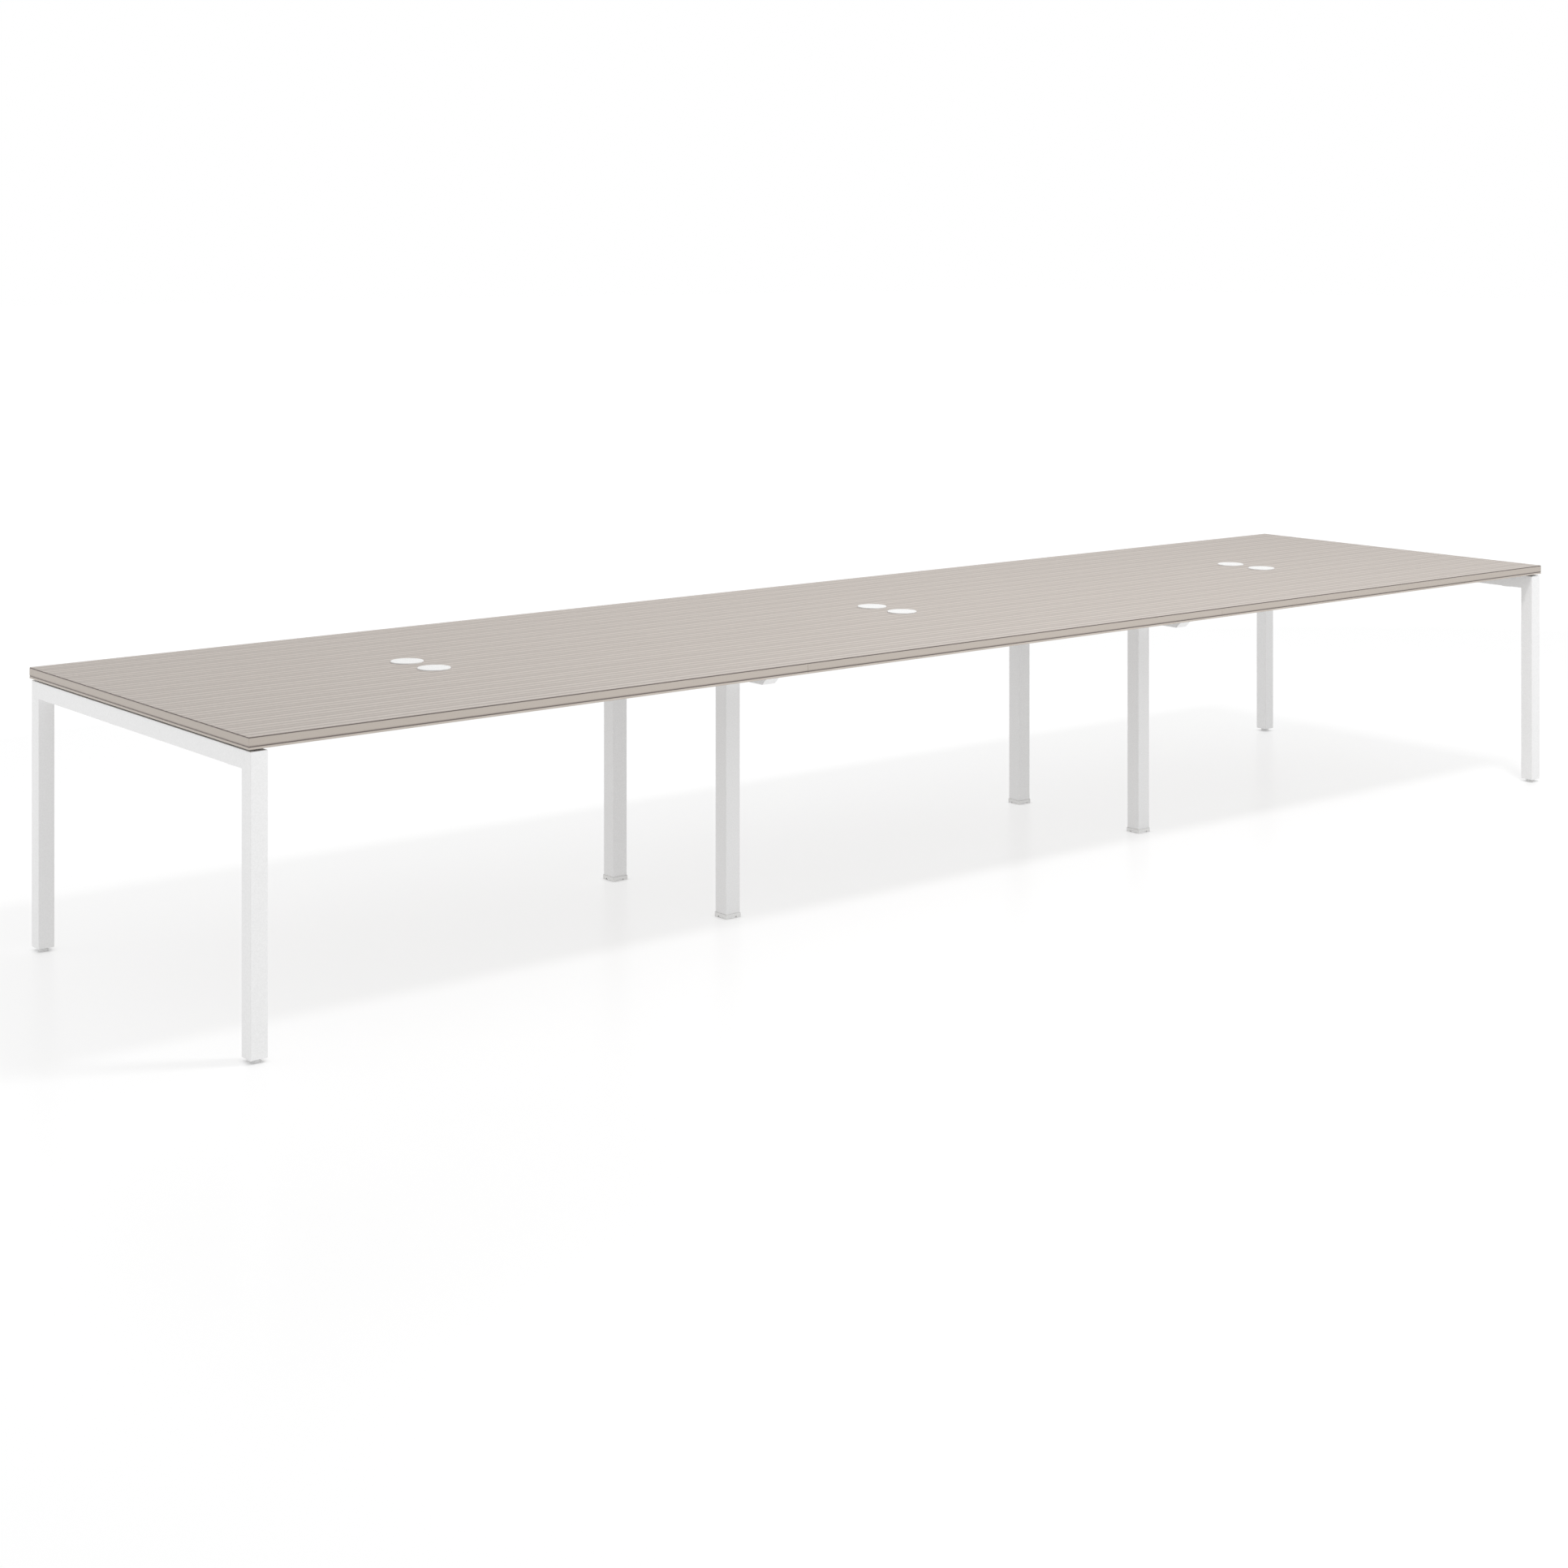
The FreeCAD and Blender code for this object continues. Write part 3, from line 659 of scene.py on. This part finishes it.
for screws, name in (("beam_screws", "beam_screw_heads"), ("joining_screws", "joining_screw_heads")):
    heads = bmesh.new()
    for low, high in head_places(screws):
        centre = (low + high) / 2.0
        seat = Vector((centre.x, centre.y, high.z))
        flats = min(high.x - low.x, high.y - low.y)
        add_head(heads, seat, Vector((0.0, 0.0, -1.0)), flats, high.z - low.z)
    add_piece(name, heads, "zinc_steel", "desk", screws)


# Weld beads where the rails meet their end plates

BEAD = 2.6
BEAD_RIPPLE = 0.35
BEAD_STEP = 2.5
# Way along the rail and way out of its side, as shares of the bead's size
BEAD_OUTLINE = ((0.0, -0.3), (0.0, 1.0), (0.42, 0.68), (0.75, 0.36), (1.0, 0.0), (0.5, -0.3))


def bead_path(low, high):
    """Points round a rail's section, each with the way out of its side."""
    corners = ((low.y, low.z), (high.y, low.z), (high.y, high.z), (low.y, high.z))
    path = []
    for (y, z), (next_y, next_z) in zip(corners, corners[1:] + corners[:1]):
        length = abs(next_y - y) + abs(next_z - z)
        count = int(length / (BEAD_STEP * MM))
        out_y = (next_z - z) / length
        out_z = -(next_y - y) / length
        for step in range(count):
            share = (step + 0.5) / count
            path.append((y + (next_y - y) * share, z + (next_z - z) * share, out_y, out_z))
    return path


beads = bmesh.new()
for board in BOARDS:
    for row in ROWS:
        low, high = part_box(f"rail_{board}_{row}")
        for end_x, inward in ((low.x, 1.0), (high.x, -1.0)):
            rings = []
            for index, (y, z, out_y, out_z) in enumerate(bead_path(low, high)):
                reach = (BEAD + (BEAD_RIPPLE if index % 2 else -BEAD_RIPPLE)) * MM
                ring = []
                for along, proud in BEAD_OUTLINE:
                    ring.append(beads.verts.new((end_x + inward * along * reach,
                                                 y + out_y * proud * reach,
                                                 z + out_z * proud * reach)))
                rings.append(ring)
            join_rings(beads, rings, True)
add_piece("rail_weld_beads", beads, "white_steel", "desk")


# Softened edges on the plain CAD pieces

WELD_DISTANCE = 0.01
EASE_SEGMENTS = 2
EASE_ANGLE = math.radians(40.0)
EASE_WIDTHS = {
    "access_plugs": 0.5,
    "rail_pads": 0.6,
    "beam_spacers": 0.5,
    "joining_plates": 0.5,
    "rail_end_plates": 0.4,
}
for end in ENDS:
    EASE_WIDTHS[f"{end}_mid_beam_end_plates"] = 0.4
    for row in ROWS:
        EASE_WIDTHS[f"foot_cap_{end}_{row}"] = 0.35

for name, width in EASE_WIDTHS.items():
    node = frame["nodes"][name]
    weld = node.modifiers.new("joined_facets", "WELD")
    weld.merge_threshold = WELD_DISTANCE * MM
    bevel = node.modifiers.new("eased_edges", "BEVEL")
    bevel.width = width * MM
    bevel.segments = EASE_SEGMENTS
    bevel.limit_method = "ANGLE"
    bevel.angle_limit = EASE_ANGLE


# Floor: a white sheet that glows, less so close to the feet, and fades into the backdrop

FLOOR_DROP = 0.2
FLOOR_HALF = 60.0
FLOOR_DARK = tone(250, 250, 250)
FLOOR_LIGHT = tone(252, 252, 252)
FLOOR_SCALE = 3.0
FLOOR_ROUGH = 0.25
FLOOR_GLOW = 0.62
FLOOR_GLOW_LEVEL = 1.05
CONTACT_REACH = 0.016
CONTACT_SAMPLES = 4
FLOOR_OVAL = (0.6, 1.0, 0.0)
FADE_START = 2.3
FADE_END = 4.2

floor_corners = []
for x, y in ((-1.0, -1.0), (1.0, -1.0), (1.0, 1.0), (-1.0, 1.0)):
    floor_corners.append((x * FLOOR_HALF, y * FLOOR_HALF, -FLOOR_DROP * MM))
floor_mesh = bpy.data.meshes.new("studio_floor")
floor_mesh.from_pydata(floor_corners, [], [(0, 1, 2, 3)])
floor = add_object("studio_floor", floor_mesh)
floor_finish, floor_place = start_material("white_floor")
floor_tone = floor_place.noise(FLOOR_SCALE).mix(FLOOR_DARK, FLOOR_LIGHT)
floor_gloss = floor_place.node("ShaderNodeBsdfPrincipled", {},
                               {"Base Color": floor_tone, "Roughness": FLOOR_ROUGH})
floor_glow = floor_place.node("ShaderNodeEmission", {},
                              {"Color": WHITE, "Strength": FLOOR_GLOW_LEVEL})
floor_open = floor_place.node("ShaderNodeAmbientOcclusion", {"samples": CONTACT_SAMPLES},
                              {"Distance": CONTACT_REACH}, "AO")
floor_reach = floor_place.node("ShaderNodeVectorMath", {"operation": "LENGTH"},
                               {0: floor_place.stretch(FLOOR_OVAL)}, "Value")
floor_share = (floor_open * FLOOR_GLOW).larger(floor_reach.rise(FADE_START, FADE_END))
floor_blend = floor_place.node("ShaderNodeMixShader", {},
                               {0: floor_share, 1: floor_gloss, 2: floor_glow})
floor_place.node("ShaderNodeOutputMaterial", {}, {"Surface": floor_blend})
floor_mesh.materials.append(floor_finish)
floor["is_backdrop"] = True


# Light: a white backdrop where the sky is seen, a dimmer one for the light it gives, and two lamps

SKY_LEVEL = 0.75
BACKDROP_LEVEL = 1.0
# Power, width, height, place and aim
LAMPS = {
    "key_light": (146.0, 1.3, 0.65, Vector((0.9, -2.41, 5.40)), Vector((0.3, 0.0, 0.7))),
    "left_fill": (13.0, 2.0, 1.6, Vector((-6.0, 2.5, 1.2)), Vector((-2.4, 0.2, 0.5))),
}

world = bpy.data.worlds.new("studio")
world.use_nodes = True
world.node_tree.nodes.clear()
light_path = world.node_tree.nodes.new("ShaderNodeLightPath")
camera_ray = Value(world.node_tree, light_path.outputs["Is Camera Ray"])
glossy_ray = Value(world.node_tree, light_path.outputs["Is Glossy Ray"])
through_ray = Value(world.node_tree, light_path.outputs["Is Transmission Ray"])
seen = camera_ray.larger(glossy_ray).larger(through_ray)
sky = seen.node("ShaderNodeBackground", {}, {"Color": WHITE, "Strength": SKY_LEVEL})
backdrop = seen.node("ShaderNodeBackground", {}, {"Color": WHITE, "Strength": BACKDROP_LEVEL})
both = seen.node("ShaderNodeMixShader", {}, {0: seen, 1: sky, 2: backdrop})
seen.node("ShaderNodeOutputWorld", {}, {"Surface": both})
bpy.context.scene.world = world

for name, (power, width, height, place, aim) in LAMPS.items():
    lamp_data = bpy.data.lights.new(name, "AREA")
    lamp_data.energy = power
    lamp_data.shape = "RECTANGLE"
    lamp_data.size = width
    lamp_data.size_y = height
    lamp = add_object(name, lamp_data)
    lamp.location = place
    lamp.rotation_euler = (place - aim).to_track_quat("Z", "Y").to_euler()
    lamp.visible_camera = False


# Camera: level, with its lens shifted so that uprights stay upright

CAMERA_PLACE = (-5.0845, -5.7776, 1.8269)
CAMERA_TURN = -0.6761
CAMERA_REACH = 500.0
PHOTO_SIDE = 1932.0
FOCAL_PIXELS = 3196.3
CENTRE_COLUMN = 947.0
HORIZON_ROW = 292.86
SENSOR = 36.0

camera_data = bpy.data.cameras.new("photo_camera")
camera_data.sensor_width = SENSOR
camera_data.lens = SENSOR * FOCAL_PIXELS / PHOTO_SIDE
camera_data.shift_x = (PHOTO_SIDE / 2.0 - CENTRE_COLUMN) / PHOTO_SIDE
camera_data.shift_y = (HORIZON_ROW - PHOTO_SIDE / 2.0) / PHOTO_SIDE
camera_data.clip_end = CAMERA_REACH
camera = add_object("photo_camera", camera_data)
camera.location = CAMERA_PLACE
camera.rotation_euler = (math.radians(90.0), 0.0, CAMERA_TURN)
bpy.context.scene.camera = camera
bpy.context.scene.view_settings.view_transform = "Standard"

low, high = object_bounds()
